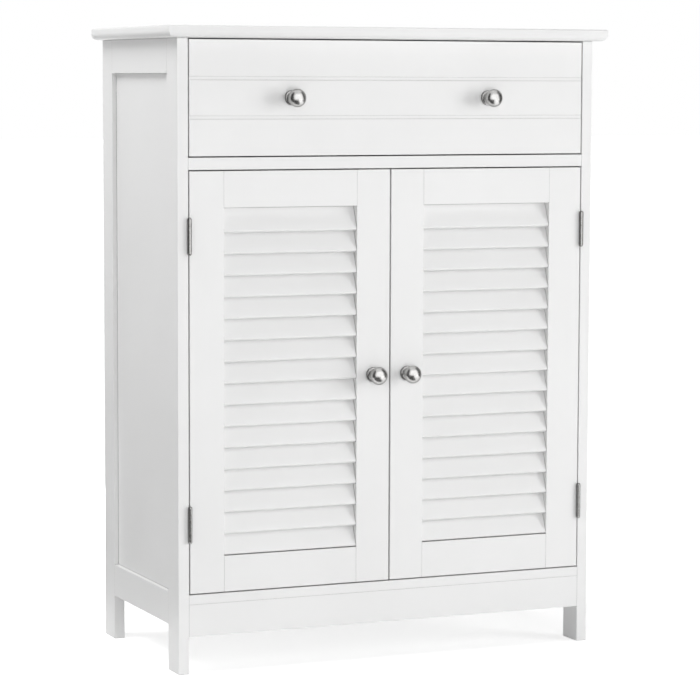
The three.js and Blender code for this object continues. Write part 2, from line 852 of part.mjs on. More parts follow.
function buildDoor(side) {
  const door = new THREE.Group();
  const name = `${sideNames.get(side)}_door`;
  addPiece(door, `${name}_hinge_stile_and_slats`, hingeStileGeometry(side), paintedBoard);
  addPiece(door, `${name}_latch_stile`, latchStileGeometry(side), paintedBoard);
  addPiece(door, `${name}_top_rail`, doorRailGeometry(side, topRailSpan), paintedBoard);
  addPiece(door, `${name}_bottom_rail`, doorRailGeometry(side, bottomRailSpan), paintedBoard);
  const knobX = side * (doorLatchEdge + stileWidth / 2);
  const knobZ = (doorBottom + doorTop) / 2 + doorKnobLift;
  addPiece(door, `${name}_knob`, knobGeometry(), satinNickel, [knobX, frontFace, knobZ]);
  addPiece(door, `${name}_strike_plate`, strikePlateGeometry(side), satinNickel);
  for (const [level, z] of hingeHeights) {
    addPiece(door, `${name}_${level}_hinge_leaf`, doorLeafGeometry(side, z), satinNickel);
  }
  return door;
}

const cabinet = new THREE.Group();
cabinet.add(buildCase(), buildDrawer(), buildDoor(left), buildDoor(right));

export default cabinet;
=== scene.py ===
import math
from collections import namedtuple

import bmesh
import bpy
from mathutils import Matrix, Vector


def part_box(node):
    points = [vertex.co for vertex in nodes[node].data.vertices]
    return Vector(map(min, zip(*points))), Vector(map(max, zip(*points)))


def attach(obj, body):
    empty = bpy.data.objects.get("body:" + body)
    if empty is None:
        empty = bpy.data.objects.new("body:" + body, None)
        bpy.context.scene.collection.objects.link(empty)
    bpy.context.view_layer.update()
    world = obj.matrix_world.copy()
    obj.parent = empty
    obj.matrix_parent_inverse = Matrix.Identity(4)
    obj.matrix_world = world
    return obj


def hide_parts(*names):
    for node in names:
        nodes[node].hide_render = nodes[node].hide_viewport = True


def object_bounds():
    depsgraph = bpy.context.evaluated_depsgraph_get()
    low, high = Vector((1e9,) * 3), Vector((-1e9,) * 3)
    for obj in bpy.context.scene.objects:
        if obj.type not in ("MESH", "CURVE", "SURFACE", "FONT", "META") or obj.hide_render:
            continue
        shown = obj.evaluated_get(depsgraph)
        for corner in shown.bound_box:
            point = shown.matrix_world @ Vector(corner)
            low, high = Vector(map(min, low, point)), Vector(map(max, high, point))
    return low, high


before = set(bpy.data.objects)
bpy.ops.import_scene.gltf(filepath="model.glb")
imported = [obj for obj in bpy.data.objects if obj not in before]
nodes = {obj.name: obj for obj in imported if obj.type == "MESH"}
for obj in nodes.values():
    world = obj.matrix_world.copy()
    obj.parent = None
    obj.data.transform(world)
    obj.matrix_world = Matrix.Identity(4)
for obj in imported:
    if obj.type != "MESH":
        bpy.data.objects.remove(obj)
cad_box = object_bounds()

MM = 0.001
QUARTER_TURN = math.pi / 2
SIDES = {"left": -1, "right": 1}
X_AXIS = Vector((1, 0, 0))
Y_AXIS = Vector((0, 1, 0))
Z_AXIS = Vector((0, 0, 1))

# The camera, from a perspective fit of the photograph's edges to the CAD sizes
FRAME_PIXELS = 700
FOCAL_PIXELS = 2787.7
SENSOR_MM = 36
CAMERA_PLACE = (-1.4428, -3.3300, 0.7325)
CAMERA_YAW = math.radians(23.436)
CAMERA_PITCH = math.radians(5.501)
CAMERA_ROLL = math.radians(0.174)

# The floor and the sky: levels are shares of plain white, distances are metres
FLOOR_SIZE = 60
FLOOR_GREY = 0.8
FLOOR_SHADED_SHARE = 0.95
FLOOR_GLOW_NEAR = 0.53
FLOOR_GLOW_FAR = 1.0
FLOOR_GLOW_RISE = (0.35, 1.2)
SKY_LEVEL = 0.28

# Each softbox has its place, its width and its power
SOFTBOXES = {
    "right_front": ((3.1, -2.4, 0.9), 2.1, 64),
    "left_high": ((-1.6, 0.2, 2.7), 1.8, 50),
    "low_front": ((-0.3, -2.7, 0.3), 1.3, 22),
    "back_fill": ((-0.1, 1.5, 0.15), 0.3, 7),
}

# Each reflected card has its place, its size and the level of its light
CARD_GREY = 0.08
REFLECTED_CARDS = {
    "dark_left": ((-0.95, -0.4, 1.1), (0, 1.2, 2.2), 0),
    "dark_right": ((1.2, -0.45, 1.1), (0, 1.0, 2.2), 0),
    "dark_low": ((-1.0, -1.5, 0.04), (2.4, 2.4, 0), 0),
    "dark_back_left": ((-1.3, 1.8, 0.25), (0, 2.6, 0.5), 0),
    "dark_back_low": ((-0.82, 1.3, 0.02), (0.96, 2.4, 0), 0),
    "bright_front": ((0.3, -1.9, 1.2), (3.2, 0, 2.1), 1.65),
}


def add_node(tree, kind, **settings):
    made = tree.nodes.new(kind)
    for name, value in settings.items():
        setattr(made, name, value)
    return made


def add_object(name, data):
    made = bpy.data.objects.new(name, data)
    bpy.context.scene.collection.objects.link(made)
    return made


# Shader building

NOISE_LOW = 0.3
NOISE_HIGH = 0.7
EDGE_SAMPLES = 4
EDGE_FLAT_LIKENESS = 0.98
EDGE_SHARP_LIKENESS = 0.75
CORNER_SAMPLES = 6


class Shader:
    """A node material under construction, with the object's own coordinates to hand."""

    def __init__(self, name):
        self.material = bpy.data.materials.new(name)
        self.material.use_nodes = True
        self.tree = self.material.node_tree
        self.tree.nodes.clear()
        self.surface = self.node("BsdfPrincipled")
        output = self.node("OutputMaterial")
        self.tree.links.new(self.surface.outputs["BSDF"], output.inputs["Surface"])
        self.place = self.node("TexCoord").outputs["Object"]

    def node(self, kind, **settings):
        return add_node(self.tree, "ShaderNode" + kind, **settings)

    def feed(self, socket, value):
        if isinstance(value, bpy.types.NodeSocket):
            self.tree.links.new(value, socket)
        elif isinstance(value, tuple) and len(value) == 3 and socket.type == "RGBA":
            socket.default_value = (*value, 1)
        else:
            socket.default_value = value

    def combine(self, operation, first, second):
        made = self.node("Math", operation=operation)
        self.feed(made.inputs[0], first)
        self.feed(made.inputs[1], second)
        return made.outputs[0]

    def noise(self, scale, detail=2.0, place=None):
        made = self.node("TexNoise")
        self.feed(made.inputs["Vector"], self.place if place is None else place)
        self.feed(made.inputs["Scale"], scale)
        self.feed(made.inputs["Detail"], detail)
        return made.outputs["Fac"]

    def streaks(self, scales, detail=2.0):
        """A noise with a scale of its own along each axis."""
        made = self.node("Mapping")
        self.feed(made.inputs["Vector"], self.place)
        self.feed(made.inputs["Scale"], scales)
        return self.noise(scale=1, detail=detail, place=made.outputs["Vector"])

    def span(self, value, from_low, from_high, to_low, to_high):
        made = self.node("MapRange", clamp=True)
        for name, number in zip(
            ("Value", "From Min", "From Max", "To Min", "To Max"),
            (value, from_low, from_high, to_low, to_high),
        ):
            self.feed(made.inputs[name], number)
        return made.outputs["Result"]

    def vary(self, noise, low, high):
        """Spreads a noise over a range."""
        return self.span(noise, NOISE_LOW, NOISE_HIGH, low, high)

    def mix(self, factor, first, second):
        made = self.node("Mix", data_type="RGBA")
        self.feed(made.inputs["Factor"], factor)
        colours = [socket for socket in made.inputs if socket.type == "RGBA"]
        self.feed(colours[0], first)
        self.feed(colours[1], second)
        return next(socket for socket in made.outputs if socket.type == "RGBA")

    def tones(self, noise, dark, light):
        """Two tones of one colour, clouded by a noise."""
        return self.mix(self.vary(noise, 0, 1), dark, light)

    def tint(self, base, mask, share, colour):
        """Lays a share of a colour over the base where the mask is 1."""
        return self.mix(self.combine("MULTIPLY", mask, share), base, colour)

    def edges(self, radius):
        """1 on a sharp edge and 0 on a flat face."""
        rounded = self.node("Bevel", samples=EDGE_SAMPLES)
        self.feed(rounded.inputs["Radius"], radius)
        flat = self.node("NewGeometry").outputs["Normal"]
        likeness = self.node("VectorMath", operation="DOT_PRODUCT")
        self.feed(likeness.inputs[0], rounded.outputs["Normal"])
        self.feed(likeness.inputs[1], flat)
        return self.span(likeness.outputs["Value"], EDGE_FLAT_LIKENESS, EDGE_SHARP_LIKENESS, 0, 1)

    def corners(self, distance, deep=0.35, open_air=0.9):
        """1 deep in a corner and 0 in the open."""
        shade = self.node("AmbientOcclusion", samples=CORNER_SAMPLES)
        self.feed(shade.inputs["Distance"], distance)
        return self.span(shade.outputs["AO"], deep, open_air, 1, 0)

    def bump(self, height, depth, strength, below=None):
        """The surface's normal with a relief, laid over the relief below it where there is one."""
        made = self.node("Bump")
        self.feed(made.inputs["Height"], height)
        self.feed(made.inputs["Distance"], depth)
        self.feed(made.inputs["Strength"], strength)
        if below is not None:
            self.feed(made.inputs["Normal"], below)
        return made.outputs["Normal"]

    def finish(self, **inputs):
        """Feeds the surface, whose inputs are named with underscores for spaces."""
        for name, value in inputs.items():
            self.feed(self.surface.inputs[name.replace("_", " ")], value)
        return self.material


# Materials

RUBBED_ROUGHNESS = 0.08


def painted_board():
    """White satin lacquer sprayed on fibreboard: a faint orange peel, worn a little on the arrises."""
    shader = Shader("painted_board")
    cloud = shader.noise(scale=6.0, detail=3.0)
    peel = shader.noise(scale=420.0, detail=1.0)
    speckle = shader.noise(scale=1500.0)
    patches = shader.span(shader.noise(scale=60.0), from_low=0.35, from_high=0.7, to_low=0.25, to_high=1)
    arris = shader.combine("MULTIPLY", shader.edges(radius=0.9 * MM), patches)
    # Painted shade: an ambient-occlusion mask darkens the colour towards grey in the seams and inner
    # corners, where shade falls.
    seams = shader.corners(distance=1.2 * MM, deep=0.45, open_air=0.95)
    base = shader.tones(cloud, dark=(0.855, 0.855, 0.852), light=(0.885, 0.885, 0.883))
    corner_shaded = shader.tint(base, seams, share=0.9, colour=(0.42, 0.42, 0.42))
    worn = shader.tint(corner_shaded, arris, share=0.22, colour=(0.93, 0.93, 0.925))
    satin = shader.vary(cloud, low=0.36, high=0.46)
    rubbed = shader.combine("MULTIPLY", arris, RUBBED_ROUGHNESS)
    relief = shader.bump(peel, depth=0.02 * MM, strength=0.5)
    relief = shader.bump(speckle, depth=0.005 * MM, strength=0.4, below=relief)
    return shader.finish(
        Base_Color=worn,
        Roughness=shader.combine("ADD", satin, rubbed),
        Normal=relief,
    )


def painted_hardboard():
    """Thin hardboard rolled with flat white paint, with the roller's stipple in it."""
    shader = Shader("painted_hardboard")
    cloud = shader.noise(scale=9.0, detail=4.0)
    stipple = shader.noise(scale=900.0, detail=3.0)
    base = shader.tones(cloud, dark=(0.80, 0.80, 0.785), light=(0.85, 0.85, 0.835))
    # Painted shade: an ambient-occlusion mask darkens the colour towards grey in the corners, where shade
    # falls.
    corner_shaded = shader.tint(base, shader.corners(distance=4 * MM), share=0.5, colour=(0.45, 0.45, 0.44))
    worn = shader.tint(corner_shaded, shader.edges(radius=0.8 * MM), share=0.35, colour=(0.66, 0.58, 0.48))
    return shader.finish(
        Base_Color=worn,
        Roughness=shader.vary(stipple, low=0.55, high=0.72),
        Normal=shader.bump(stipple, depth=0.03 * MM, strength=0.6),
    )


# Dark and light tone of the plate, and its least and greatest roughness
NICKEL_FINISHES = {
    "satin_nickel": ((0.52, 0.516, 0.508), (0.60, 0.596, 0.588), (0.23, 0.30)),
    "dull_nickel": ((0.36, 0.357, 0.35), (0.44, 0.437, 0.43), (0.22, 0.30)),
}
NICKEL_RIM_TINT = (0.25, 0.25, 0.25)
# The near-black colour of the painted shade in the plate's creases
NICKEL_CREASE_SHADE = (0.03, 0.03, 0.03)


def nickel_plate(name):
    """Nickel plate: fine turned brushing, painted shade darkening the creases, brighter where hands polish
    it.
    """
    dark, light, (smoothest, roughest) = NICKEL_FINISHES[name]
    shader = Shader(name)
    cloud = shader.noise(scale=180.0, detail=3.0)
    brushing = shader.streaks(scales=(900.0, 6000.0, 900.0))
    # Painted shade: an ambient-occlusion mask turns the plate nearly black in its creases and where it
    # stands close to a board.
    creases = shader.corners(distance=22 * MM, deep=0.3, open_air=0.97)
    crease_shaded = shader.mix(creases, shader.tones(cloud, dark, light), NICKEL_CREASE_SHADE)
    arris = shader.edges(radius=0.4 * MM)
    return shader.finish(
        Base_Color=shader.tint(crease_shaded, arris, share=0.4, colour=(0.66, 0.65, 0.64)),
        Metallic=1.0,
        Specular_Tint=NICKEL_RIM_TINT,
        Roughness=shader.vary(brushing, low=smoothest, high=roughest),
        Normal=shader.bump(brushing, depth=0.004 * MM, strength=0.5),
    )


def beech():
    """Planed beech: pale straight grain with short darker flecks."""
    shader = Shader("beech")
    grain = shader.streaks(scales=(260.0, 9.0, 260.0), detail=5.0)
    flecks = shader.streaks(scales=(1400.0, 110.0, 1400.0))
    fleck_mask = shader.span(flecks, from_low=0.62, from_high=0.72, to_low=0, to_high=0.6)
    base = shader.tones(grain, dark=(0.50, 0.315, 0.165), light=(0.64, 0.44, 0.26))
    flecked = shader.mix(fleck_mask, base, (0.34, 0.18, 0.08))
    worn = shader.tint(flecked, shader.edges(radius=0.8 * MM), share=0.4, colour=(0.70, 0.52, 0.34))
    return shader.finish(
        Base_Color=worn,
        Roughness=shader.vary(grain, low=0.48, high=0.62),
        Normal=shader.bump(grain, depth=0.05 * MM, strength=0.6),
    )


def white_plastic():
    """Moulded white plastic with a fine spark-eroded grain."""
    shader = Shader("white_plastic")
    grain = shader.noise(scale=2600.0)
    cloud = shader.noise(scale=40.0)
    base = shader.tones(cloud, dark=(0.78, 0.77, 0.74), light=(0.83, 0.82, 0.79))
    worn = shader.tint(base, shader.edges(radius=0.5 * MM), share=0.3, colour=(0.90, 0.89, 0.87))
    return shader.finish(
        Base_Color=worn,
        Roughness=shader.vary(grain, low=0.34, high=0.5),
        Normal=shader.bump(grain, depth=0.01 * MM, strength=0.5),
    )


def magnet_steel():
    """Bare steel pole plates, scratched where the strike plates meet them."""
    shader = Shader("magnet_steel")
    scratches = shader.streaks(scales=(3000.0, 300.0, 5000.0), detail=4.0)
    cloud = shader.noise(scale=300.0, detail=3.0)
    base = shader.tones(cloud, dark=(0.15, 0.15, 0.16), light=(0.24, 0.24, 0.25))
    worn = shader.tint(base, shader.edges(radius=0.3 * MM), share=0.6, colour=(0.5, 0.5, 0.5))
    return shader.finish(
        Base_Color=worn,
        Metallic=0.9,
        Roughness=shader.vary(scratches, low=0.3, high=0.55),
        Normal=shader.bump(scratches, depth=0.01 * MM, strength=0.5),
    )


materials = {
    maker.__name__: maker()
    for maker in (painted_board, painted_hardboard, beech, white_plastic, magnet_steel)
}
materials.update({name: nickel_plate(name) for name in NICKEL_FINISHES})


# Soft edges for the CAD nodes, by modifiers alone

LINING_ARRIS = 0.4 * MM
ARRISES = {
    "painted_board": 0.45 * MM,
    "painted_hardboard": LINING_ARRIS,
    "beech": LINING_ARRIS,
    "white_plastic": LINING_ARRIS,
    "satin_nickel": 0,
    "magnet_steel": 0.15 * MM,
}
ARRIS_STEPS = 2
ARRIS_LEAST_LENGTH = 9 * MM
CREASE_ANGLE = math.radians(46)
FLAT_ANGLE = math.radians(0.5)
WELD_DISTANCE = 0.01 * MM
HOUSED_NODES = [f"{side}_door_latch_stile" for side in SIDES]


def geometry_group(name):
    group = bpy.data.node_groups.new(name, "GeometryNodeTree")
    group.interface.new_socket("Geometry", in_out="INPUT", socket_type="NodeSocketGeometry")
    group.interface.new_socket("Geometry", in_out="OUTPUT", socket_type="NodeSocketGeometry")
    return group


def chain(group, steps):
    """Links nodes, each with a Geometry or Mesh socket, from the group's input to its output."""
    last = add_node(group, "NodeGroupInput").outputs[0]
    for step in [*steps, add_node(group, "NodeGroupOutput")]:
        group.links.new(last, step.inputs[0])
        last = step.outputs[0] if step.outputs else None
    return group


def welded_group():
    """Drops the imported normals and joins the corners of the separate triangles."""
    group = geometry_group("welded")
    bare = add_node(group, "GeometryNodeRemoveAttribute")
    bare.inputs["Name"].default_value = "custom_normal"
    merged = add_node(group, "GeometryNodeMergeByDistance")
    merged.inputs["Distance"].default_value = WELD_DISTANCE
    return chain(group, [bare, merged])


def above(group, value, least):
    """1 where the value is greater than the least one, and 0 elsewhere."""
    check = add_node(group, "ShaderNodeMath", operation="GREATER_THAN")
    check.inputs[1].default_value = least
    group.links.new(value, check.inputs[0])
    return check.outputs[0]


def long_arrises_group():
    """Weights the long outward edges for the bevel. Holes, housings and inner corners stay crisp."""
    group = geometry_group("long_arrises")
    ends = add_node(group, "GeometryNodeInputMeshEdgeVertices")
    length = add_node(group, "ShaderNodeVectorMath", operation="DISTANCE")
    group.links.new(ends.outputs["Position 1"], length.inputs[0])
    group.links.new(ends.outputs["Position 2"], length.inputs[1])
    angle = add_node(group, "GeometryNodeInputMeshEdgeAngle")
    both = add_node(group, "ShaderNodeMath", operation="MULTIPLY")
    group.links.new(above(group, length.outputs["Value"], ARRIS_LEAST_LENGTH), both.inputs[0])
    group.links.new(above(group, angle.outputs["Signed Angle"], CREASE_ANGLE), both.inputs[1])
    store = add_node(group, "GeometryNodeStoreNamedAttribute", data_type="FLOAT", domain="EDGE")
    store.inputs["Name"].default_value = "bevel_weight_edge"
    group.links.new(both.outputs[0], store.inputs["Value"])
    return chain(group, [store])


def creased_group():
    """Shades smooth, with a crease wherever two faces meet at more than the crease angle."""
    group = geometry_group("creased")
    smooth = add_node(group, "GeometryNodeSetShadeSmooth")
    crease = add_node(group, "GeometryNodeSetShadeSmooth", domain="EDGE")
    crease.inputs["Shade Smooth"].default_value = False
    angle = add_node(group, "GeometryNodeInputMeshEdgeAngle")
    sharp = add_node(group, "FunctionNodeCompare", operation="GREATER_THAN")
    sharp.inputs["B"].default_value = CREASE_ANGLE
    group.links.new(angle.outputs["Unsigned Angle"], sharp.inputs["A"])
    group.links.new(sharp.outputs["Result"], crease.inputs["Selection"])
    return chain(group, [smooth, crease])


welded = welded_group()
long_arrises = long_arrises_group()
creased = creased_group()


def add_modifier(piece, kind, name, **settings):
    modifier = piece.modifiers.new(name, kind)
    for key, value in settings.items():
        setattr(modifier, key, value)


def round_arrises(piece, width, housed):
    """Joins the triangles into flat faces and rounds the long arrises.

    A housed piece keeps its triangles, because a face full of housings doesn't join into one."""
    if not housed:
        add_modifier(piece, "DECIMATE", "flats", decimate_type="DISSOLVE", angle_limit=FLAT_ANGLE)
    add_modifier(piece, "NODES", "long_arrises", node_group=long_arrises)
    add_modifier(
        piece,
        "BEVEL",
        "arris",
        width=width,
        segments=ARRIS_STEPS,
        limit_method="WEIGHT",
        use_clamp_overlap=False,
    )
    add_modifier(piece, "NODES", "rejoined", node_group=welded)


def soften(piece, width, housed):
    """Rounds a CAD node's arrises, where they have a width, and smooths its curves."""
    add_modifier(piece, "NODES", "welded", node_group=welded)
    if width:
        round_arrises(piece, width, housed)
    add_modifier(piece, "NODES", "creased", node_group=creased)
    if width:
        add_modifier(piece, "WEIGHTED_NORMAL", "flat_faces", keep_sharp=True)


def dress_nodes():
    """Gives every CAD node its material and soft edges. The hinges have a duller plate than the knobs."""
    for node in nodes.values():
        slot_name = node.material_slots[0].material.name.split(".")[0]
        dull = "hinge" in node.name and slot_name == "satin_nickel"
        node.material_slots[0].material = materials["dull_nickel" if dull else slot_name]
        soften(node, ARRISES[slot_name], node.name in HOUSED_NODES)


# New pieces

def new_piece(name, mesh, body, slot):
    """A Blender piece that rides on a CAD body and takes its finish from a slot of the record."""
    piece = add_object(name, mesh)
    mesh.materials.append(materials[slot])
    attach(piece, body)
    return piece


def add_ring(model, radius, height, count):
    """A ring of points round the Z axis, or the one point on it."""
    if radius < WELD_DISTANCE:
        return [model.verts.new((0, 0, height))]
    turns = (2 * math.pi * step / count for step in range(count))
    return [model.verts.new((radius * math.cos(turn), radius * math.sin(turn), height)) for turn in turns]


def join_rings(model, lower, upper):
    """Faces between two rings, either of which may be a single point."""
    for step in range(max(len(lower), len(upper))):
        after = step + 1
        around = [
            lower[step % len(lower)],
            lower[after % len(lower)],
            upper[after % len(upper)],
            upper[step % len(upper)],
        ]
        model.faces.new(list(dict.fromkeys(around)))


def turn_profile(model, profile, count):
    """Turns (radius, height) pairs round the Z axis, and returns the last ring."""
    rings = [add_ring(model, radius, height, count) for radius, height in profile]
    for lower, upper in zip(rings, rings[1:]):
        join_rings(model, lower, upper)
    return rings[-1]


def to_mesh(model, name):
    mesh = bpy.data.meshes.new(name)
    model.to_mesh(mesh)
    model.free()
    for face in mesh.polygons:
        face.use_smooth = True
    return mesh


def pointing(direction, place):
    """The matrix that stands a piece built along +Z at a place, pointing in a direction."""
    return Matrix.Translation(place) @ direction.to_track_quat("Z", "Y").to_matrix().to_4x4()


def curve_points(centre, radii, start, end, steps):
    """Points of an elliptic arc, as (radius, height) pairs."""
    turns = (start + (end - start) * step / steps for step in range(steps + 1))
    return [(centre[0] + radii[0] * math.cos(t), centre[1] + radii[1] * math.sin(t)) for t in turns]


def evenly(start, end, count):
    return [start + (end - start) * step / (count - 1) for step in range(count)]


# Knobs: shares are of the head's radius, or of the length for the dome and the neck's reach

KNOB_FACETS = 64
KNOB_ARC_STEPS = 14
KNOB_RIM_STEPS = 5
KNOB_FOOT_STEPS = 4
KNOB_DOME_SHARE = 8.6 / 27
KNOB_NECK_REACH_SHARE = 9.5 / 27
KNOB_FOOT_SHARE = 9 / 11.3
KNOB_NECK_SHARE = 5 / 11.3
KNOB_RIM = 1.2 * MM
KNOB_FOOT_THICKNESS = 1.8 * MM
KNOB_FOOT_ROUND = 0.5 * MM


def knob_profile(length, head):
    """A flanged foot, a hollow neck that flares into the rim, and a dome."""
    foot = head * KNOB_FOOT_SHARE
    neck = head * KNOB_NECK_SHARE
    waist = length * KNOB_NECK_REACH_SHARE
    shoulder = length * (1 - KNOB_DOME_SHARE)
    flare = head - KNOB_RIM
    lip = shoulder - KNOB_RIM
    quarter = QUARTER_TURN
    steps = KNOB_ARC_STEPS
    flange = foot - KNOB_FOOT_ROUND
    foot_edge = (flange, KNOB_FOOT_THICKNESS - KNOB_FOOT_ROUND)
    hollow = (flange - neck, waist - KNOB_FOOT_THICKNESS)
    return [
        (0, 0),
        (foot, 0),
        *curve_points(foot_edge, (KNOB_FOOT_ROUND, KNOB_FOOT_ROUND), 0, quarter, KNOB_FOOT_STEPS),
        *curve_points((flange, waist), hollow, -quarter, -2 * quarter, steps)[1:],
        *curve_points((flare, waist), (flare - neck, lip - waist), 2 * quarter, quarter, steps)[1:],
        *curve_points((flare, shoulder), (KNOB_RIM, KNOB_RIM), -quarter, 0, KNOB_RIM_STEPS)[1:],
        *curve_points((0, shoulder), (head, length - shoulder), 0, quarter, steps)[1:],
    ]


def add_knob(node_name, body):
    """A finely turned knob in the place of the CAD's."""
    low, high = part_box(node_name)
    middle = (low + high) / 2
    model = bmesh.new()
    turn_profile(model, knob_profile(high.y - low.y, (high.x - low.x) / 2), KNOB_FACETS)
    bmesh.ops.recalc_face_normals(model, faces=model.faces)
    model.transform(pointing(-Y_AXIS, Vector((middle.x, high.y, middle.z))))
    knob = new_piece(f"turned_{node_name}", to_mesh(model, node_name), body, "satin_nickel")
    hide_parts(node_name)


# Heads of screws, bolts and nails: the top of a head is at the origin, and the turn step is in radians

SCREW_FACETS = 24
SCREW_TURN_STEP = 1.9
CROSS_REACH_SHARE = 0.62
CROSS_HALF_SHARE = 0.14
CROSS_DEPTH_SHARE = 0.55
CROSS_TAPER_SHARE = 0.45
COUNTERSUNK_BEVEL_SHARE = 0.08
PAN_FLAT_SHARE = 0.7
PAN_STEPS = 4
NAIL_BEVEL_SHARE = 0.5

Head = namedtuple("Head", "outline cross_radius cross_depth")


def countersunk(radius, tail, height):
    """A flat head that narrows to its tail."""
    bevel = radius * COUNTERSUNK_BEVEL_SHARE
    outline = [(0, -height), (tail, -height), (radius, -bevel), (radius - bevel, 0)]
    return Head(outline, radius, height * CROSS_DEPTH_SHARE)


def pan_head(radius, shank, length, rise, washer=None):
    """A head rounded over a flat underside. A washer is given by its radius and thickness."""
    foot = -rise
    seat = []
    if washer:
        washer_radius, thickness = washer
        foot = -rise - thickness
        seat = [(washer_radius, foot), (washer_radius, -rise)]
    crown_radii = (radius * (1 - PAN_FLAT_SHARE), rise)
    crown = curve_points((radius * PAN_FLAT_SHARE, -rise), crown_radii, 0, QUARTER_TURN, PAN_STEPS)
    outline = [(0, -length), (shank, -length), (shank, foot), *seat, *crown]
    return Head(outline, radius, rise * CROSS_DEPTH_SHARE)


def nail_head(radius, shank, length, thickness):
    """A flat disc with no cross."""
    bevel = thickness * NAIL_BEVEL_SHARE
    disc = [(radius, -thickness), (radius, -bevel), (radius - bevel, 0)]
    return Head([(0, -length), (shank, -length), (shank, -thickness), *disc], 0, 0)


def cross_outline(reach, half):
    """The twelve corners of a cross, counter-clockwise from its right arm."""
    arm = [(reach, -half), (reach, half), (half, half)]
    return [
        (x * math.cos(turn) - y * math.sin(turn), x * math.sin(turn) + y * math.cos(turn))
        for turn in (quarter * QUARTER_TURN for quarter in range(4))
        for x, y in arm
    ]


def closed_edges(model, ring):
    return [model.edges.get(pair) for pair in zip(ring, [*ring[1:], ring[0]])]


def cut_cross(model, rim, radius, depth):
    """The face of a head with a tapering cross recess in it."""
    corners = cross_outline(radius * CROSS_REACH_SHARE, radius * CROSS_HALF_SHARE)
    mouth = [model.verts.new((x, y, 0)) for x, y in corners]
    floor = [model.verts.new((x * CROSS_TAPER_SHARE, y * CROSS_TAPER_SHARE, -depth)) for x, y in corners]
    join_rings(model, mouth, floor)
    model.faces.new(floor)
    edges = closed_edges(model, mouth) + closed_edges(model, rim)
    bmesh.ops.triangle_fill(model, use_beauty=True, edges=edges)


def add_head(model, head, place):
    """One head, added to the model at a place."""
    alone = bmesh.new()
    rim = turn_profile(alone, head.outline, SCREW_FACETS)
    if head.cross_radius:
        cut_cross(alone, rim, head.cross_radius, head.cross_depth)
    else:
        alone.faces.new(rim)
    bmesh.ops.recalc_face_normals(alone, faces=alone.faces)
    alone.transform(place)
    spare = bpy.data.meshes.new("spare")
    alone.to_mesh(spare)
    alone.free()
    model.from_mesh(spare)
    bpy.data.meshes.remove(spare)


def add_screws(name, places, direction, head, body):
    """One piece that holds the screws of one fitting, each turned further than the last."""
    model = bmesh.new()
    first_turn = len(name)
    for index, place in enumerate(places):
        turn = Matrix.Rotation(index * SCREW_TURN_STEP + first_turn, 4, "Z")
        add_head(model, head, pointing(direction, place) @ turn)
    piece = new_piece(name, to_mesh(model, name), body, "satin_nickel")
    add_modifier(piece, "NODES", "creased", node_group=creased)


# The fastenings

LEAF_SCREW = countersunk(radius=2.45 * MM, tail=1.5 * MM, height=0.9 * MM)
LEAF_SCREW_SINK = 0.05 * MM
LEAF_SCREW_INSET = 8 * MM
LEAF_SCREW_HALF_SPACING = 14 * MM
LEAF_GAP = 0.4 * MM

CATCH_SCREW_RISE = 1.8 * MM
CATCH_SCREW = pan_head(radius=3.4 * MM, shank=1.7 * MM, length=5 * MM, rise=CATCH_SCREW_RISE)
CATCH_SCREW_REACH = 26.5 * MM
CATCH_EAR_THICKNESS = 2 * MM

STRIKE_SCREW = countersunk(radius=1.5 * MM, tail=1.1 * MM, height=0.8 * MM)
STRIKE_SCREW_SINK = 0.12 * MM

KNOB_BOLT_RISE = 2.1 * MM
KNOB_WASHER = (5.2 * MM, 0.8 * MM)
KNOB_BOLT = pan_head(3.6 * MM, shank=2 * MM, length=8 * MM, rise=KNOB_BOLT_RISE, washer=KNOB_WASHER)

BACK_NAIL_THICKNESS = 0.5 * MM
BACK_NAIL = nail_head(2.6 * MM, shank=0.9 * MM, length=5 * MM, thickness=BACK_NAIL_THICKNESS)
BACK_NAIL_EDGE = 3 * MM
BACK_NAIL_COLUMN_END = 30 * MM
BACK_NAIL_COLUMN_COUNT = 7
BACK_NAIL_ROW_END = 120 * MM
BACK_NAIL_ROW_COUNT = 5


def hinge_screws(side, sign, level):
    """The screws of a hinge's two leaves, which share the space between the leg and the door."""
    leg = min(sign * corner.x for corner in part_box(f"{side}_front_leg"))
    edge = max(sign * corner.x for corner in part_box(f"{side}_door_hinge_stile_and_slats"))
    leaf_thickness = (leg - edge - LEAF_GAP) / 2
    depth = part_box(f"{side}_front_leg")[0].y + LEAF_SCREW_INSET
    for leaf, body, surface, facing in (
        (f"{side}_{level}_hinge_frame_leaf", "case", leg - leaf_thickness, -sign),
        (f"{side}_door_{level}_hinge_leaf", f"{side}_door", edge + leaf_thickness, sign),
    ):
        low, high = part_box(leaf)
        middle = (low.z + high.z) / 2
        places = [
            Vector((sign * surface - facing * LEAF_SCREW_SINK, depth, middle + offset))
            for offset in (-LEAF_SCREW_HALF_SPACING, LEAF_SCREW_HALF_SPACING)
        ]
        add_screws(f"{leaf}_screws", places, X_AXIS * facing, LEAF_SCREW, body)


def catch_screws():
    """The screws through the catch's two ears, with their heads under them."""
    low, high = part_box("magnetic_catch")
    top = high.z - CATCH_EAR_THICKNESS - CATCH_SCREW_RISE
    middle = (low.y + high.y) / 2
    places = [Vector((sign * CATCH_SCREW_REACH, middle, top)) for sign in SIDES.values()]
    add_screws("magnetic_catch_screws", places, -Z_AXIS, CATCH_SCREW, "case")


def strike_screw(side):
    """The screw in the middle of a door's strike plate."""
    low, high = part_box(f"{side}_door_strike_plate")
    middle = (low + high) / 2
    place = Vector((middle.x, high.y - STRIKE_SCREW_SINK, middle.z))
    add_screws(f"{side}_door_strike_screw", [place], Y_AXIS, STRIKE_SCREW, f"{side}_door")


def knob_bolt(knob, board, body):
    """The bolt that holds a knob, its head and washer on the inner face of the board."""
    low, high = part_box(knob)
    middle = (low + high) / 2
    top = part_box(board)[1].y + KNOB_WASHER[1] + KNOB_BOLT_RISE
    add_screws(f"{knob}_bolt", [Vector((middle.x, top, middle.z))], Y_AXIS, KNOB_BOLT, body)


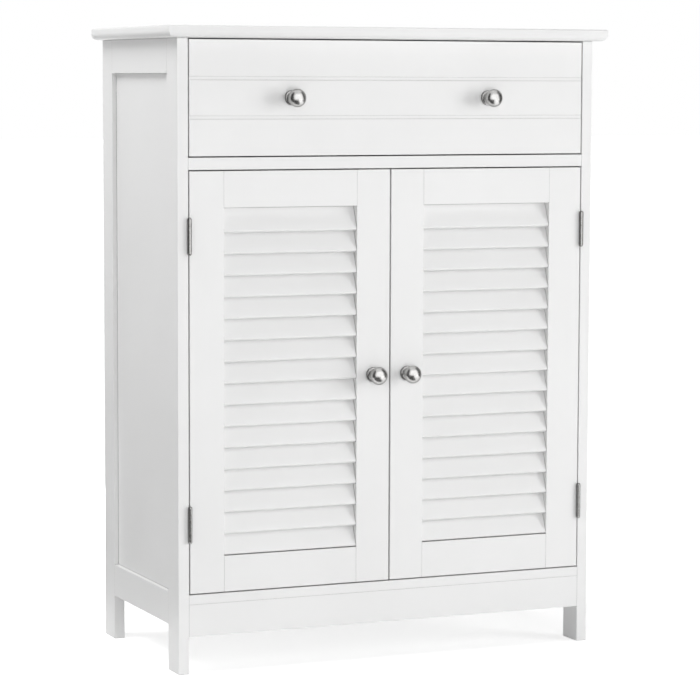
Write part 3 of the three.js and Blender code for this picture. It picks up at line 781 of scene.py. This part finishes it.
def back_nails():
    """Two columns of nails along the panel's edges and a row into the drawer divider."""
    low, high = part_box("back_panel")
    levels = evenly(low.z + BACK_NAIL_COLUMN_END, high.z - BACK_NAIL_COLUMN_END, BACK_NAIL_COLUMN_COUNT)
    places = [(x, z) for x in (low.x + BACK_NAIL_EDGE, high.x - BACK_NAIL_EDGE) for z in levels]
    divider_low, divider_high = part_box("drawer_divider")
    row_level = (divider_low.z + divider_high.z) / 2
    row = evenly(low.x + BACK_NAIL_ROW_END, high.x - BACK_NAIL_ROW_END, BACK_NAIL_ROW_COUNT)
    places += [(x, row_level) for x in row]
    top = high.y + BACK_NAIL_THICKNESS
    add_screws("back_panel_nails", [Vector((x, top, z)) for x, z in places], Y_AXIS, BACK_NAIL, "case")


def add_hardware():
    catch_screws()
    back_nails()
    for side, sign in SIDES.items():
        strike_screw(side)
        knob_bolt(f"drawer_{side}_knob", "drawer_front", "drawer")
        knob_bolt(f"{side}_door_knob", f"{side}_door_latch_stile", f"{side}_door")
        add_knob(f"drawer_{side}_knob", "drawer")
        add_knob(f"{side}_door_knob", f"{side}_door")
        for level in ("upper", "lower"):
            hinge_screws(side, sign, level)


# Studio

def plain(level):
    return (level, level, level, 1)


def bare_tree(owner):
    """The emptied node tree of a material or a world."""
    owner.use_nodes = True
    owner.node_tree.nodes.clear()
    return owner.node_tree


def stage_plane(name, corners, material):
    mesh = bpy.data.meshes.new(name)
    mesh.from_pydata(corners, [], [(0, 1, 2, 3)])
    mesh.materials.append(material)
    plane = add_object(name, mesh)
    return plane


def seen_rays(tree):
    """1 for the rays that show the backdrop itself: straight, mirrored or through glass."""
    rays = add_node(tree, "ShaderNodeLightPath")
    total = rays.outputs["Is Camera Ray"]
    for name in ("Is Glossy Ray", "Is Transmission Ray"):
        larger = add_node(tree, "ShaderNodeMath", operation="MAXIMUM")
        tree.links.new(total, larger.inputs[0])
        tree.links.new(rays.outputs[name], larger.inputs[1])
        total = larger.outputs[0]
    return total


def show_when_seen(tree, lighting, seen, output_kind):
    """One shader for the rays that light the object, and another for those that show the backdrop."""
    choice = add_node(tree, "ShaderNodeMixShader")
    tree.links.new(seen_rays(tree), choice.inputs[0])
    tree.links.new(lighting.outputs[0], choice.inputs[1])
    tree.links.new(seen.outputs[0], choice.inputs[2])
    output = add_node(tree, output_kind)
    tree.links.new(choice.outputs[0], output.inputs["Surface"])


def matt(tree, level):
    made = add_node(tree, "ShaderNodeBsdfDiffuse")
    made.inputs["Color"].default_value = plain(level)
    return made


def glow_level(tree):
    """The floor's glow, which rises with the distance from the object to plain white."""
    spot = add_node(tree, "ShaderNodeTexCoord")
    distance = add_node(tree, "ShaderNodeVectorMath", operation="LENGTH")
    tree.links.new(spot.outputs["Object"], distance.inputs[0])
    rise = add_node(tree, "ShaderNodeMapRange", interpolation_type="SMOOTHSTEP")
    rise.inputs["From Min"].default_value, rise.inputs["From Max"].default_value = FLOOR_GLOW_RISE
    rise.inputs["To Min"].default_value = FLOOR_GLOW_NEAR
    rise.inputs["To Max"].default_value = FLOOR_GLOW_FAR
    tree.links.new(distance.outputs["Value"], rise.inputs["Value"])
    return rise.outputs["Result"]


def floor_material():
    """Pale matt floor. It glows to the camera up to plain white, and keeps the object's shadow."""
    material = bpy.data.materials.new("pale_floor")
    tree = bare_tree(material)
    glow = add_node(tree, "ShaderNodeEmission")
    tree.links.new(glow_level(tree), glow.inputs["Strength"])
    seen = add_node(tree, "ShaderNodeAddShader")
    tree.links.new(matt(tree, FLOOR_SHADED_SHARE).outputs[0], seen.inputs[0])
    tree.links.new(glow.outputs[0], seen.inputs[1])
    show_when_seen(tree, matt(tree, FLOOR_GREY), seen, "ShaderNodeOutputMaterial")
    return material


def add_floor():
    half = FLOOR_SIZE / 2
    corners = [(-half, -half, 0), (half, -half, 0), (half, half, 0), (-half, half, 0)]
    stage_plane("floor", corners, floor_material())


def white_light(tree, strength):
    made = add_node(tree, "ShaderNodeBackground")
    made.inputs["Color"].default_value = plain(1)
    made.inputs["Strength"].default_value = strength
    return made


def add_world():
    """A sky that lights softly from all round and shows as plain white."""
    world = bpy.data.worlds.new("studio")
    bpy.context.scene.world = world
    tree = bare_tree(world)
    show_when_seen(tree, white_light(tree, SKY_LEVEL), white_light(tree, 1), "ShaderNodeOutputWorld")


def add_lamp(name, place, size, watts):
    """A round softbox aimed at the middle of the cabinet, which leaves the reflections to the cards."""
    lamp = bpy.data.lights.new(name, "AREA")
    lamp.shape = "DISK"
    lamp.size = size
    lamp.energy = watts
    softbox = add_object(name, lamp)
    softbox.visible_glossy = False
    low, high = cad_box
    softbox.location = place
    softbox.rotation_mode = "QUATERNION"
    softbox.rotation_quaternion = ((low + high) / 2 - Vector(place)).to_track_quat("-Z", "Y")


def card_corners(place, size):
    """The corners of an upright or level card, one of whose three sizes is zero."""
    x, y, z = (length / 2 for length in size)
    if z == 0:
        offsets = ((-x, -y, 0), (x, -y, 0), (x, y, 0), (-x, y, 0))
    else:
        offsets = ((-x, -y, -z), (x, y, -z), (x, y, z), (-x, -y, z))
    return [Vector(place) + Vector(offset) for offset in offsets]


def card_material(name, level):
    material = bpy.data.materials.new(name)
    material.use_nodes = True
    surface = material.node_tree.nodes["Principled BSDF"]
    surface.inputs["Base Color"].default_value = plain(CARD_GREY)
    surface.inputs["Roughness"].default_value = 1
    surface.inputs["Emission Color"].default_value = plain(1)
    surface.inputs["Emission Strength"].default_value = level
    return material


def add_reflected_card(name, place, size, level):
    """A card seen only in reflections. Dark ones give the metal its edges, the bright one its highlight."""
    card = stage_plane(name, card_corners(place, size), card_material(name, level))
    card.visible_camera = False
    card.visible_diffuse = False
    card.visible_shadow = False
    card.visible_transmission = False
    card.visible_volume_scatter = False


def add_camera():
    lens = bpy.data.cameras.new("camera")
    lens.sensor_width = SENSOR_MM
    lens.lens = FOCAL_PIXELS / FRAME_PIXELS * SENSOR_MM
    camera = add_object("camera", lens)
    turn = (
        Matrix.Rotation(-CAMERA_YAW, 4, "Z")
        @ Matrix.Rotation(QUARTER_TURN - CAMERA_PITCH, 4, "X")
        @ Matrix.Rotation(CAMERA_ROLL, 4, "Z")
    )
    camera.matrix_world = Matrix.Translation(CAMERA_PLACE) @ turn
    bpy.context.scene.camera = camera


bpy.context.scene.view_settings.view_transform = "Standard"
add_camera()
add_world()
for lamp_name, (lamp_place, lamp_size, lamp_watts) in SOFTBOXES.items():
    add_lamp(lamp_name, lamp_place, lamp_size, lamp_watts)
for card_name, (card_place, card_size, card_level) in REFLECTED_CARDS.items():
    add_reflected_card(card_name, card_place, card_size, card_level)
add_floor()
dress_nodes()
add_hardware()
